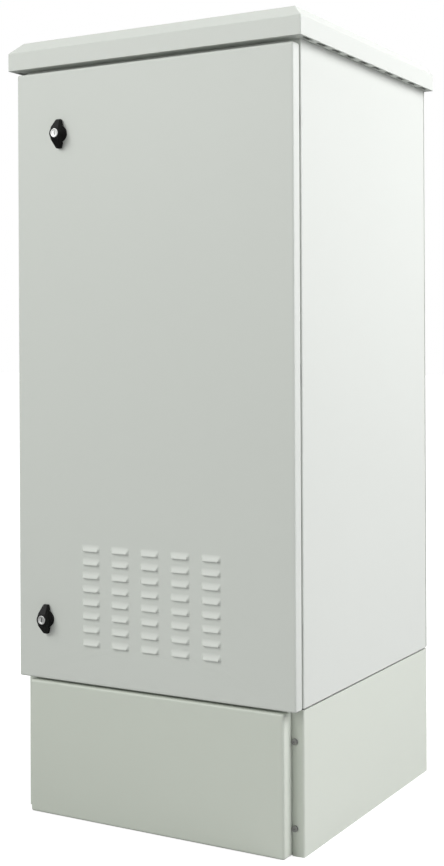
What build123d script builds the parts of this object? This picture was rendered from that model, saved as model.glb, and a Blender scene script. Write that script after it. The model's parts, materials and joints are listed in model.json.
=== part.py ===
from build123d import *
import os
from math import sqrt

# A free-standing roadside utility cabinet in folded sheet steel: a plinth, a body with a
# 19-inch rack inside, a full-overlay door with pressed louvres and two wing-knob locks,
# and a rain hood with vent slots under its overhang. Millimetres. The origin is the centre
# of the anchor holes on the floor, +X to the right seen from the front, +Y to the rear.

# Main sizes
CABINET_WIDTH = 600.0
BODY_DEPTH = 590.0
PLINTH_HEIGHT = 258.5
BODY_HEIGHT = 1193.5
SEAL_THICKNESS = 3.0

# Sheet
BODY_SHEET = 2.0
DOOR_SHEET = 2.0
PLINTH_SHEET = 2.5
COVER_SHEET = 2.0
HOOD_SHEET = 2.0
BEND_RADIUS = 3.0
TRAY_RADIUS = 3.5

# Door
DOOR_DEPTH = 24.0
DOOR_BODY_GAP = 6.0
DOOR_DROP = 1.5
DOOR_HOOD_GAP = 9.0
DOOR_RETURN = 14.0

# Front frame of the body
FRAME_SIDE = 46.0
FRAME_SILL = 44.5
FRAME_HEAD = 71.0
LIP_DEPTH = 17.0
GASKET_WIDTH = 10.0
SOFT_CLEARANCE = 0.3

# Hood
HOOD_HEIGHT = 56.0
HOOD_CHAMFER = 22.0
HOOD_SIDE_OVERHANG = 18.0
HOOD_FRONT_OVERHANG = 6.0
HOOD_REAR_OVERHANG = 7.0
HOOD_BODY_GAP = 3.0
HOOD_FOLD_RADIUS = 2.5
HOOD_PILLAR_LENGTH = 36.0
HOOD_PILLAR_ACROSS = 17.0
HOOD_STUD_SPACING_X = 460.0
HOOD_STUD_SPACING_Y = 440.0
HOOD_SLOTS = 10
HOOD_SLOT_LENGTH = 36.0
HOOD_SLOT_WIDTH = 9.0
HOOD_SLOT_PITCH = 61.5
HOOD_SLOT_CORNER = 1.5

# Roof plate vents
ROOF_SLOTS = 6
ROOF_SLOT_LENGTH = 240.0
ROOF_SLOT_WIDTH = 12.0
ROOF_SLOT_PITCH = 30.0

# Louvres in the door
LOUVRE_COLUMNS = 5
LOUVRE_ROWS = 8
LOUVRE_WIDTH = 42.0
LOUVRE_HEIGHT = 12.5
LOUVRE_RISE = 4.5
LOUVRE_PITCH_X = 65.4
LOUVRE_PITCH_Z = 25.4
LOUVRE_TOP_ABOVE_DOOR_BOTTOM = 264.5
LOUVRE_CORNER = 5.0
LOUVRE_END_SLOPE = 4.0
LOUVRE_MOUTH = 3.0
LOUVRE_WALL = 1.5

# Locks
UPPER_LOCK_FROM_LEFT = 102.0
UPPER_LOCK_BELOW_DOOR_TOP = 122.0
LOWER_LOCK_FROM_LEFT = 67.0
LOWER_LOCK_ABOVE_DOOR_BOTTOM = 116.0
LOCK_FLANGE_RADIUS = 16.0
LOCK_FLANGE_THICKNESS = 4.0
LOCK_BARREL_RADIUS = 9.9
LOCK_BARREL_LENGTH = 23.0
LOCK_HOLE_CLEARANCE = 0.2
LOCK_NUT_ACROSS = 24.0
LOCK_NUT_THICKNESS = 6.0
SHAFT_RADIUS = 5.0
RUNNING_CLEARANCE = 0.05
AXIAL_CLEARANCE = 0.3
KNOB_SKIRT_RADIUS = 14.5
KNOB_SKIRT_THICKNESS = 3.5
KNOB_BOSS_RADIUS = 11.8
KNOB_PROJECTION = 20.0
WING_REACH = 28.0
WING_TIP_WIDTH = 10.0
WING_TIP_PROJECTION = 7.0
WING_DOOR_GAP = 1.0
WING_FLANGE_CLEARANCE = 0.5
WING_EDGE_RADIUS = 1.2
PLUG_RADIUS = 9.2
PLUG_DEPTH = 12.0
KEYHOLE_WIDTH = 1.8
KEYHOLE_HEIGHT = 8.5
KEYHOLE_DEPTH = 7.0
CAM_THICKNESS = 3.0
CAM_WIDTH = 18.0
CAM_ENGAGEMENT = 14.0
CAM_SQUARE = 7.0
CAM_SCREW_RADIUS = 2.5

# Hinges
HINGE_COUNT = 3
HINGE_END_DISTANCE = 135.0
HINGE_AXIS_FROM_SIDE = 10.0
HINGE_AXIS_FROM_FACE = 12.0
HINGE_PIN_RADIUS = 2.5
HINGE_KNUCKLE_RADIUS = 4.5
HINGE_KNUCKLE_HEIGHT = 20.0
HINGE_EAR_HEIGHT = 14.0
HINGE_ARM_THICKNESS = 4.0
HINGE_ARM_FROM_AXIS = 22.0
HINGE_ARM_RADIUS = 5.0
HINGE_FOOT_WIDTH = 23.0
HINGE_FOOT_HEIGHT = 60.0
HINGE_FOOT_FROM_AXIS = 9.0
HINGE_LEAF_WIDTH = 30.0
HINGE_LEAF_HEIGHT = 60.0
HINGE_LEAF_THICKNESS = 3.0
HINGE_PIN_TAIL = 2.0
HINGE_NOTCH_MARGIN = 4.0

# Door stiffeners and filter holder
STIFFENER_CENTRE_X = 171.5
STIFFENER_WIDTH = 20.0
STIFFENER_DEPTH = 15.0
STIFFENER_SHEET = 1.5
STIFFENER_END_GAP = 8.0
FILTER_MARGIN_X = 6.0
FILTER_MARGIN_Z = 12.0
FILTER_DEPTH = 14.0
FILTER_SHEET = 1.5
FILTER_WINDOWS_X = 5
FILTER_WINDOWS_Z = 3
FILTER_BAR = 8.0
FILTER_GUIDE_LIP = 6.0

# 19-inch rack
RACK_UNITS = 24
RACK_UNIT = 44.45
RACK_HOLE_OFFSETS = (6.35, 38.1)
RACK_HOLE = 9.5
RACK_HOLE_SPACING = 465.1
RACK_CLEAR_WIDTH = 451.0
RAIL_SHEET = 2.0
RAIL_FLANGE = 32.5
RAIL_WEB = 36.0
RAIL_END_MARGIN = 6.6
RAIL_FRONT_SETBACK = 45.0
SUPPORT_HEIGHT = 40.0
SUPPORT_COUNT = 2
SUPPORT_END_DISTANCE = 130.0
SUPPORT_REAR_GAP = 15.0

# Plinth
COVER_SIDE_INSET = 25.0
COVER_TOP_DROP = 3.0
COVER_FLOOR_GAP = 0.5
COVER_FLANGE = 18.0
COVER_FORWARD_OF_DOOR = 1.0
STRIP_COVER_GAP = 1.5
POST_LEG = 40.0
POST_THICKNESS = 3.0
FRAME_THICKNESS = 5.0
BASE_FRAME_WIDTH = 72.5
TOP_FRAME_WIDTH = 45.0
SEAL_WIDTH = 18.0
SEAL_RECESS = 4.0
ANCHOR_SPACING_X = 500.0
ANCHOR_SPACING_Y = 490.0
ANCHOR_HOLE_RADIUS = 7.0
PLINTH_SCREW_FROM_SIDE = 17.7
PLINTH_SCREW_HEIGHTS = (49.0, 202.0)

# Floor of the body
BASE_SHEET = 2.5
GLAND_OPENING_X = 380.0
GLAND_OPENING_Y = 140.0
GLAND_OPENING_CENTRE_Y = 60.0
GLAND_PLATE_OVERLAP = 20.0
GLAND_PLATE_THICKNESS = 3.0
GLAND_BORE_RADIUS = 25.25
GLAND_BORE_PITCH = 120.0
GLAND_BORES = 3
EARTH_STUD_X = -200.0
EARTH_STUD_Y = -200.0
EARTH_STUD_LENGTH = 30.0

# Fasteners: radius, hexagon across flats and head or nut height
M6_RADIUS, M6_ACROSS, M6_HEIGHT = 3.0, 10.0, 4.0
M8_RADIUS, M8_ACROSS, M8_HEIGHT = 4.0, 13.0, 6.5
M12_RADIUS, M12_ACROSS, M12_HEIGHT = 6.0, 19.0, 7.5
HOLE_CLEARANCE = 0.3
STUD_TAIL = 4.0
SOCKET_HEAD_RADIUS = 5.7
SOCKET_HEAD_HEIGHT = 3.3
SOCKET_ACROSS = 4.0
SOCKET_DEPTH = 2.0
BOLT_INSET_X = 30.0
BOLT_INSET_Y = 33.0

# How far from a plane an edge may lie and still count as in it
NEAR = 0.001

# Places that follow from the sizes
SIDE = CABINET_WIDTH / 2
BODY_FRONT = -BODY_DEPTH / 2
BODY_REAR = BODY_DEPTH / 2
BODY_BOTTOM = PLINTH_HEIGHT + SEAL_THICKNESS
BODY_TOP = BODY_BOTTOM + BODY_HEIGHT
DOOR_BACK = BODY_FRONT - DOOR_BODY_GAP
DOOR_FACE = DOOR_BACK - DOOR_DEPTH
DOOR_INNER = DOOR_FACE + DOOR_SHEET
HOOD_TOP = BODY_TOP + HOOD_PILLAR_LENGTH + HOOD_SHEET
HOOD_BOTTOM = HOOD_TOP - HOOD_HEIGHT
DOOR_BOTTOM = BODY_BOTTOM - DOOR_DROP
DOOR_TOP = HOOD_BOTTOM - DOOR_HOOD_GAP
OPENING_SIDE = SIDE - FRAME_SIDE
OPENING_BOTTOM = BODY_BOTTOM + FRAME_SILL
OPENING_TOP = BODY_TOP - FRAME_HEAD
LIP_TIP = BODY_FRONT - LIP_DEPTH
FRAME_BACK = BODY_FRONT + BODY_SHEET
BODY_FLOOR = BODY_BOTTOM + BASE_SHEET
HINGE_X = SIDE - HINGE_AXIS_FROM_SIDE
HINGE_Y = DOOR_FACE + HINGE_AXIS_FROM_FACE
RACK_BOTTOM = (OPENING_BOTTOM + OPENING_TOP - RACK_UNITS * RACK_UNIT) / 2
RAIL_INNER = RACK_CLEAR_WIDTH / 2
RAIL_OUTER = RAIL_INNER + RAIL_FLANGE
RAIL_FRONT = BODY_FRONT + RAIL_FRONT_SETBACK
LOUVRE_TOP = DOOR_BOTTOM + LOUVRE_TOP_ABOVE_DOOR_BOTTOM
PLINTH_INNER = SIDE - PLINTH_SHEET
COVER_FRONT = DOOR_FACE - COVER_FORWARD_OF_DOOR
COVER_SIDE = SIDE - COVER_SIDE_INSET
COVER_TOP = PLINTH_HEIGHT - COVER_TOP_DROP
POST_FACE = BODY_REAR - PLINTH_SHEET - COVER_SHEET
TOP_FRAME_BOTTOM = PLINTH_HEIGHT - FRAME_THICKNESS
KNOB_BACK = DOOR_FACE - LOCK_FLANGE_THICKNESS - AXIAL_CLEARANCE
KNOB_FACE = DOOR_FACE - KNOB_PROJECTION
CAM_FRONT = FRAME_BACK + AXIAL_CLEARANCE
LOCKS = {
    "upper": (UPPER_LOCK_FROM_LEFT - SIDE, DOOR_TOP - UPPER_LOCK_BELOW_DOOR_TOP),
    "lower": (LOWER_LOCK_FROM_LEFT - SIDE, DOOR_BOTTOM + LOWER_LOCK_ABOVE_DOOR_BOTTOM),
}


# Basic shapes
def block(x, y, z):
    """A rectangular solid between two limits on each axis."""
    limits = (x, y, z)
    size = [high - low for low, high in limits]
    centre = [(low + high) / 2 for low, high in limits]
    return Pos(*centre) * Box(*size)


def rod_y(x, z, radius, y):
    """A round rod along Y between two limits."""
    low, high = y
    return Pos(x, (low + high) / 2, z) * Rot(90, 0, 0) * Cylinder(radius, high - low)


def rod_x(y, z, radius, x):
    """A round rod along X between two limits."""
    low, high = x
    return Pos((low + high) / 2, y, z) * Rot(0, 90, 0) * Cylinder(radius, high - low)


def rod_z(x, y, radius, z):
    """A round rod along Z between two limits."""
    low, high = z
    return Pos(x, y, (low + high) / 2) * Cylinder(radius, high - low)


def hexagon_z(x, y, across, z):
    """A hexagonal prism along Z between two limits."""
    low, high = z
    outline = RegularPolygon(across / sqrt(3), 6)
    return Pos(x, y, low) * extrude(outline, amount=high - low)


def hexagon_y(x, z, across, y):
    """A hexagonal prism along Y between two limits."""
    low, high = y
    outline = RegularPolygon(across / sqrt(3), 6)
    return Pos(x, high, z) * Rot(90, 0, 0) * extrude(outline, amount=high - low)


def hexagon_x(y, z, across, x):
    """A hexagonal prism along X between two limits."""
    low, high = x
    outline = RegularPolygon(across / sqrt(3), 6)
    return Pos(low, y, z) * Rot(0, 90, 0) * extrude(outline, amount=high - low)


def folded_upright(points, sheet, radius, z):
    """A folded sheet seen from above, along its middle line, standing between two heights."""
    low, high = z
    outline = trace(FilletPolyline(*points, radius=radius), line_width=sheet)
    return extrude(Pos(0, 0, low) * outline, amount=high - low, dir=(0, 0, 1))


def folded_across(points, sheet, radius, x):
    """A folded sheet seen from the side as (Y, Z) points, running across between two X."""
    low, high = x
    outline = trace(FilletPolyline(*points, radius=radius), line_width=sheet)
    return extrude(Pos(low, 0, 0) * (Plane.YZ * outline), amount=high - low, dir=(1, 0, 0))


def folded_deep(points, sheet, radius, y):
    """A folded sheet seen from the front as (X, Z) points, running back between two Y."""
    low, high = y
    outline = trace(FilletPolyline(*points, radius=radius), line_width=sheet)
    return extrude(Pos(0, low, 0) * (Plane.XZ * outline), amount=high - low, dir=(0, 1, 0))


def ring_plate(outer, inner, z):
    """A flat rectangular ring, its outer and inner half sizes given as (X, Y)."""
    plate = block((-outer[0], outer[0]), (-outer[1], outer[1]), z)
    return plate - block((-inner[0], inner[0]), (-inner[1], inner[1]), z)


def tray(half_width, y, z, sheet, radius):
    """A pressed tray with its face to the front, open at the back, all folds rounded."""
    front, back = y
    low, high = z
    outer = block((-half_width, half_width), y, z)
    outer = fillet(tray_edges(outer, front), radius)
    hollow = block(
        (sheet - half_width, half_width - sheet), (front + sheet, back), (low + sheet, high - sheet)
    )
    hollow = fillet(tray_edges(hollow, front + sheet), radius - sheet)
    return outer - hollow


def tray_edges(solid, front):
    """The edges round a block's front face and its four edges that run back."""
    return edges_at_depth(solid, front) + solid.edges().filter_by(Axis.Y)


def edges_at_depth(solid, y):
    """The edges that lie in the plane at one Y."""
    return solid.edges().filter_by_position(Axis.Y, y - NEAR, y + NEAR)


def both_sides(solid):
    """A solid and its mirror image on the other side of the cabinet."""
    return [solid, mirror(solid, about=Plane.YZ)]


def corners(x, y):
    """The four corner places at plus and minus X and Y."""
    return [(sx * x, sy * y) for sx in (-1, 1) for sy in (-1, 1)]


def spread(count, low, high):
    """Evenly spaced places from low to high."""
    return [low + (high - low) * step / (count - 1) for step in range(count)]


# Plinth
def plinth_base_frame():
    outer = (PLINTH_INNER, POST_FACE)
    inner = (PLINTH_INNER - BASE_FRAME_WIDTH, POST_FACE - BASE_FRAME_WIDTH)
    frame = ring_plate(outer, inner, (0, FRAME_THICKNESS))
    for x, y in corners(ANCHOR_SPACING_X / 2, ANCHOR_SPACING_Y / 2):
        frame -= rod_z(x, y, ANCHOR_HOLE_RADIUS, (0, FRAME_THICKNESS))
    return frame


def plinth_top_frame():
    outer = (PLINTH_INNER, POST_FACE)
    inner = (PLINTH_INNER - TOP_FRAME_WIDTH, POST_FACE - TOP_FRAME_WIDTH)
    z = (TOP_FRAME_BOTTOM, PLINTH_HEIGHT)
    frame = ring_plate(outer, inner, z)
    for x, y in bolt_places():
        frame -= rod_z(x, y, M12_RADIUS, z)
    return frame


def bolt_places():
    """The four bolts that hold the body on the plinth."""
    return corners(SIDE - BOLT_INSET_X, BODY_REAR - BOLT_INSET_Y)


def plinth_post(side_sign, depth_sign):
    """A corner post, rolled angle, standing on the base frame under the top frame."""
    half = POST_THICKNESS / 2
    x = side_sign * (PLINTH_INNER - half)
    y = depth_sign * (POST_FACE - half)
    points = [
        (x - side_sign * (POST_LEG - half), y),
        (x, y),
        (x, y - depth_sign * (POST_LEG - half)),
    ]
    post = folded_upright(points, POST_THICKNESS, 0, (FRAME_THICKNESS, TOP_FRAME_BOTTOM))
    if depth_sign > 0:
        return post
    for height in PLINTH_SCREW_HEIGHTS:
        screw_x = side_sign * (SIDE - PLINTH_SCREW_FROM_SIDE)
        post -= rod_y(screw_x, height, M6_RADIUS, (y - half, y + half))
    return post


def plinth_side(side_sign):
    """A side panel folded round both corners into the strips that take the screws."""
    half = PLINTH_SHEET / 2
    x = SIDE - half
    y = BODY_REAR - half
    strip_end = COVER_SIDE + STRIP_COVER_GAP
    points = [(strip_end, -y), (x, -y), (x, y), (strip_end, y)]
    panel = folded_upright(points, PLINTH_SHEET, BEND_RADIUS, (0, PLINTH_HEIGHT))
    strip = (BODY_FRONT, BODY_FRONT + PLINTH_SHEET)
    for height in PLINTH_SCREW_HEIGHTS:
        screw_x = SIDE - PLINTH_SCREW_FROM_SIDE
        panel -= rod_y(screw_x, height, M6_RADIUS + HOLE_CLEARANCE, strip)
    return panel if side_sign > 0 else mirror(panel, about=Plane.YZ)


def plinth_front_cover():
    """The lift-out cover tray; its side flanges are notched to slide behind the strips' screws."""
    z = (COVER_FLOOR_GAP, COVER_TOP)
    cover = tray(COVER_SIDE, (COVER_FRONT, -POST_FACE), z, COVER_SHEET, TRAY_RADIUS)
    flange_y = (-POST_FACE - COVER_SHEET, -POST_FACE)
    flange_end = COVER_SIDE + STRIP_COVER_GAP + COVER_FLANGE
    notch_start = SIDE - PLINTH_SCREW_FROM_SIDE - M6_RADIUS - HOLE_CLEARANCE
    notch_half = M6_RADIUS + HOLE_CLEARANCE
    for side_sign in (-1, 1):
        reach = sorted((side_sign * (COVER_SIDE - COVER_SHEET), side_sign * flange_end))
        cover += block(reach, flange_y, z)
        notch = sorted((side_sign * notch_start, side_sign * flange_end))
        for height in PLINTH_SCREW_HEIGHTS:
            cover -= block(notch, flange_y, (height - notch_half, height + notch_half))
    return cover


def plinth_rear_cover():
    """The fixed rear plate, behind the rear strips of the side panels."""
    half = COVER_SIDE + STRIP_COVER_GAP + COVER_FLANGE
    return block((-half, half), (POST_FACE, POST_FACE + COVER_SHEET), (COVER_FLOOR_GAP, COVER_TOP))


def plinth_screw(x, z):
    """A cylinder-head screw with a hexagon socket, through a front strip into its post."""
    outside = BODY_FRONT - SOCKET_HEAD_HEIGHT
    tip = -POST_FACE + POST_THICKNESS
    head = rod_y(x, z, SOCKET_HEAD_RADIUS, (outside, BODY_FRONT))
    socket = hexagon_y(x, z, SOCKET_ACROSS, (outside, outside + SOCKET_DEPTH))
    return head - socket + rod_y(x, z, M6_RADIUS, (BODY_FRONT, tip))


def plinth_screws():
    x = SIDE - PLINTH_SCREW_FROM_SIDE
    return [
        plinth_screw(side_sign * x, height)
        for side_sign in (-1, 1)
        for height in PLINTH_SCREW_HEIGHTS
    ]


def plinth_seal():
    outer = (SIDE - SEAL_RECESS, BODY_REAR - SEAL_RECESS - COVER_SHEET)
    inner = (outer[0] - SEAL_WIDTH, outer[1] - SEAL_WIDTH)
    return ring_plate(outer, inner, (PLINTH_HEIGHT, BODY_BOTTOM))


def plinth_bolts():
    bolts = []
    tip = TOP_FRAME_BOTTOM - STUD_TAIL
    for x, y in bolt_places():
        head = hexagon_z(x, y, M12_ACROSS, (BODY_FLOOR, BODY_FLOOR + M12_HEIGHT))
        bolts.append(head + rod_z(x, y, M12_RADIUS, (tip, BODY_FLOOR)))
    return bolts


# Body
def body_side(side_sign):
    """One sheet folded into the side, the front frame's stile with its rain lip, and a rear flange."""
    half = BODY_SHEET / 2
    lip_x = OPENING_SIDE + half
    front_y = BODY_FRONT + half
    side_x = SIDE - half
    rear_y = BODY_REAR - BODY_SHEET - half
    rear_flange_x = SIDE - FRAME_SIDE / 2
    points = [
        (lip_x, LIP_TIP),
        (lip_x, front_y),
        (side_x, front_y),
        (side_x, rear_y),
        (rear_flange_x, rear_y),
    ]
    radii = [0, BEND_RADIUS, BEND_RADIUS]
    panel = folded_upright(points, BODY_SHEET, radii, (BODY_BOTTOM, BODY_TOP))
    lip_zone_x = (OPENING_SIDE - BODY_SHEET, OPENING_SIDE + 2 * BODY_SHEET)
    lip_zone_y = (LIP_TIP - BODY_SHEET, BODY_FRONT)
    panel -= block(lip_zone_x, lip_zone_y, (BODY_BOTTOM, OPENING_BOTTOM - BODY_SHEET))
    panel -= block(lip_zone_x, lip_zone_y, (OPENING_TOP + BODY_SHEET, BODY_TOP))
    return panel if side_sign > 0 else mirror(panel, about=Plane.YZ)


def frame_head():
    """The front frame's top rail with its rain lip."""
    half = BODY_SHEET / 2
    points = [
        (LIP_TIP, OPENING_TOP + half),
        (BODY_FRONT + half, OPENING_TOP + half),
        (BODY_FRONT + half, BODY_TOP),
    ]
    return folded_across(points, BODY_SHEET, 0, (-OPENING_SIDE, OPENING_SIDE))


def frame_sill():
    """The front frame's bottom rail with its rain lip."""
    half = BODY_SHEET / 2
    points = [
        (LIP_TIP, OPENING_BOTTOM - half),
        (BODY_FRONT + half, OPENING_BOTTOM - half),
        (BODY_FRONT + half, BODY_BOTTOM),
    ]
    return folded_across(points, BODY_SHEET, 0, (-OPENING_SIDE, OPENING_SIDE))


def rear_panel():
    return block((-SIDE, SIDE), (BODY_REAR - BODY_SHEET, BODY_REAR), (BODY_BOTTOM, BODY_TOP))


def body_inside_plate(z):
    """A plate that fills the body, its corners cut clear of the side panels' folds."""
    inner = SIDE - BODY_SHEET
    rear = BODY_REAR - 2 * BODY_SHEET
    plate = block((-inner, inner), (FRAME_BACK, rear), z)
    return chamfer(plate.edges().filter_by(Axis.Z), BEND_RADIUS)


def body_base():
    z = (BODY_BOTTOM, BODY_FLOOR)
    plate = body_inside_plate(z)
    half_x = GLAND_OPENING_X / 2
    y = (
        GLAND_OPENING_CENTRE_Y - GLAND_OPENING_Y / 2,
        GLAND_OPENING_CENTRE_Y + GLAND_OPENING_Y / 2,
    )
    plate -= block((-half_x, half_x), y, z)
    for x, y in bolt_places():
        plate -= rod_z(x, y, M12_RADIUS + HOLE_CLEARANCE, z)
    for x, y in gland_screw_places():
        plate -= rod_z(x, y, M6_RADIUS, z)
    return plate


def gland_screw_places():
    x = (GLAND_OPENING_X + GLAND_PLATE_OVERLAP) / 2
    return [(-x, GLAND_OPENING_CENTRE_Y), (x, GLAND_OPENING_CENTRE_Y)]


def gland_plate():
    """The lift-out plate over the floor opening, bored for cable glands."""
    z = (BODY_FLOOR, BODY_FLOOR + GLAND_PLATE_THICKNESS)
    half_x = GLAND_OPENING_X / 2 + GLAND_PLATE_OVERLAP
    half_y = GLAND_OPENING_Y / 2 + GLAND_PLATE_OVERLAP
    y = (GLAND_OPENING_CENTRE_Y - half_y, GLAND_OPENING_CENTRE_Y + half_y)
    plate = block((-half_x, half_x), y, z)
    for step in range(GLAND_BORES):
        x = (step - (GLAND_BORES - 1) / 2) * GLAND_BORE_PITCH
        plate -= rod_z(x, GLAND_OPENING_CENTRE_Y, GLAND_BORE_RADIUS, z)
    for x, y in gland_screw_places():
        plate -= rod_z(x, y, M6_RADIUS + HOLE_CLEARANCE, z)
    return plate


def gland_screws():
    top = BODY_FLOOR + GLAND_PLATE_THICKNESS
    tip = BODY_BOTTOM - STUD_TAIL
    return [
        hexagon_z(x, y, M6_ACROSS, (top, top + M6_HEIGHT)) + rod_z(x, y, M6_RADIUS, (tip, top))
        for x, y in gland_screw_places()
    ]


def earth_terminal():
    """The earth stud with its hexagon collar, standing on the body's floor."""
    seat = BODY_FLOOR + M8_HEIGHT
    collar = hexagon_z(EARTH_STUD_X, EARTH_STUD_Y, M8_ACROSS, (BODY_FLOOR, seat))
    return collar + rod_z(EARTH_STUD_X, EARTH_STUD_Y, M8_RADIUS, (seat, BODY_FLOOR + EARTH_STUD_LENGTH))


def roof_plate():
    """The body's roof, with vent slots into the space under the hood."""
    z = (BODY_TOP - BODY_SHEET, BODY_TOP)
    plate = body_inside_plate(z)
    for step in range(ROOF_SLOTS):
        y = (step - (ROOF_SLOTS - 1) / 2) * ROOF_SLOT_PITCH
        slot_y = (y - ROOF_SLOT_WIDTH / 2, y + ROOF_SLOT_WIDTH / 2)
        plate -= block((-ROOF_SLOT_LENGTH / 2, ROOF_SLOT_LENGTH / 2), slot_y, z)
    for x, y in hood_stud_places():
        plate -= rod_z(x, y, M8_RADIUS + HOLE_CLEARANCE, z)
    return plate


# Hood
def hood_stud_places():
    return corners(HOOD_STUD_SPACING_X / 2, HOOD_STUD_SPACING_Y / 2)


def hood():
    """The rain hood: a deep tray upside down, chamfered all round, with slotted return flanges."""
    half_x = SIDE + HOOD_SIDE_OVERHANG
    front = DOOR_FACE - HOOD_FRONT_OVERHANG
    rear = BODY_REAR + HOOD_REAR_OVERHANG
    outer = block((-half_x, half_x), (front, rear), (HOOD_BOTTOM, HOOD_TOP))
    outer = chamfer(outer.faces().sort_by(Axis.Z)[-1].edges(), HOOD_CHAMFER)
    outer = fillet(hood_folds(outer), HOOD_FOLD_RADIUS)
    inner_x = half_x - HOOD_SHEET
    inner_y = (front + HOOD_SHEET, rear - HOOD_SHEET)
    inner = block((-inner_x, inner_x), inner_y, (HOOD_BOTTOM, HOOD_TOP - HOOD_SHEET))
    inner_chamfer = HOOD_CHAMFER - (2 - sqrt(2)) * HOOD_SHEET
    inner = chamfer(inner.faces().sort_by(Axis.Z)[-1].edges(), inner_chamfer)
    shell = outer - inner
    flange_z = (HOOD_BOTTOM, HOOD_BOTTOM + HOOD_SHEET)
    edge_x = SIDE + HOOD_BODY_GAP
    for side_sign in (-1, 1):
        x = sorted((side_sign * edge_x, side_sign * inner_x))
        shell += block(x, inner_y, flange_z)
    shell += block((-inner_x, inner_x), (inner_y[0], BODY_FRONT - HOOD_BODY_GAP), flange_z)
    slot = Box(HOOD_SLOT_WIDTH, HOOD_SLOT_LENGTH, HOOD_SHEET)
    slot = chamfer(slot.edges().filter_by(Axis.Z), HOOD_SLOT_CORNER)
    slot_x = (edge_x + inner_x) / 2
    slot_z = HOOD_BOTTOM + HOOD_SHEET / 2
    slots = []
    for step in range(HOOD_SLOTS):
        y = (front + rear) / 2 + (step - (HOOD_SLOTS - 1) / 2) * HOOD_SLOT_PITCH
        slots += both_sides(Pos(slot_x, y, slot_z) * slot)
    return shell - slots


def hood_folds(solid):
    """All the outer edges of the chamfered hood except those round its open bottom."""
    return [edge for edge in solid.edges() if edge.center().Z > HOOD_BOTTOM + HOOD_SHEET]


def hood_pillars():
    """Hexagonal pillars under the hood, each turned down to a stud through the roof plate."""
    stud_tip = BODY_TOP - BODY_SHEET - M8_HEIGHT - STUD_TAIL
    pillars = []
    for x, y in hood_stud_places():
        pillar = hexagon_z(x, y, HOOD_PILLAR_ACROSS, (BODY_TOP, HOOD_TOP - HOOD_SHEET))
        pillars.append(pillar + rod_z(x, y, M8_RADIUS, (stud_tip, BODY_TOP)))
    return pillars


def hood_nuts():
    top = BODY_TOP - BODY_SHEET
    z = (top - M8_HEIGHT, top)
    return [
        hexagon_z(x, y, M8_ACROSS, z) - rod_z(x, y, M8_RADIUS, z)
        for x, y in hood_stud_places()
    ]


# Rack
def rack_rail(side_sign):
    """A 19-inch rail: an angle with a column of square holes in its face."""
    half = RAIL_SHEET / 2
    x_outer = RAIL_OUTER - half
    y = RAIL_FRONT + half
    z = (RACK_BOTTOM - RAIL_END_MARGIN, RACK_BOTTOM + RACK_UNITS * RACK_UNIT + RAIL_END_MARGIN)
    points = [(RAIL_INNER, y), (x_outer, y), (x_outer, RAIL_FRONT + RAIL_WEB)]
    rail = folded_upright(points, RAIL_SHEET, BEND_RADIUS, z)
    hole = Box(RACK_HOLE, RAIL_SHEET, RACK_HOLE)
    rail -= [Pos(RACK_HOLE_SPACING / 2, y, height) * hole for height in rack_hole_heights()]
    web = (RAIL_OUTER - RAIL_SHEET, RAIL_OUTER)
    radius = M6_RADIUS + HOLE_CLEARANCE
    rail -= [rod_x(rail_screw_y(), height, radius, web) for height in support_heights()]
    return rail if side_sign > 0 else mirror(rail, about=Plane.YZ)


def rack_hole_heights():
    return [
        RACK_BOTTOM + unit * RACK_UNIT + offset_z
        for unit in range(RACK_UNITS)
        for offset_z in RACK_HOLE_OFFSETS
    ]


def rail_screw_y():
    return RAIL_FRONT + RAIL_WEB / 2


def support_heights():
    low = OPENING_BOTTOM + SUPPORT_END_DISTANCE
    high = OPENING_TOP - SUPPORT_END_DISTANCE
    return spread(SUPPORT_COUNT, low, high)


def rail_supports(side_sign):
    """Channels welded along the side of the body, which the rail's web is screwed to."""
    half = BODY_SHEET / 2
    face = RAIL_OUTER + half
    back = SIDE - BODY_SHEET
    rise = SUPPORT_HEIGHT / 2 - half
    channels = []
    for height in support_heights():
        points = [
            (back, height + rise),
            (face, height + rise),
            (face, height - rise),
            (back, height - rise),
        ]
        channel = folded_deep(points, BODY_SHEET, 0, (RAIL_FRONT, BODY_REAR - SUPPORT_REAR_GAP))
        channel -= rod_x(rail_screw_y(), height, M6_RADIUS, (RAIL_OUTER, RAIL_OUTER + BODY_SHEET))
        channels.append(channel if side_sign > 0 else mirror(channel, about=Plane.YZ))
    return channels


def rail_screws():
    seat = RAIL_OUTER - RAIL_SHEET
    tip = RAIL_OUTER + BODY_SHEET + STUD_TAIL
    screws = []
    for z in support_heights():
        head = hexagon_x(rail_screw_y(), z, M6_ACROSS, (seat - M6_HEIGHT, seat))
        screws += both_sides(head + rod_x(rail_screw_y(), z, M6_RADIUS, (seat, tip)))
    return screws


# Hinges
def hinge_heights():
    return spread(HINGE_COUNT, DOOR_BOTTOM + HINGE_END_DISTANCE, DOOR_TOP - HINGE_END_DISTANCE)


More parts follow.
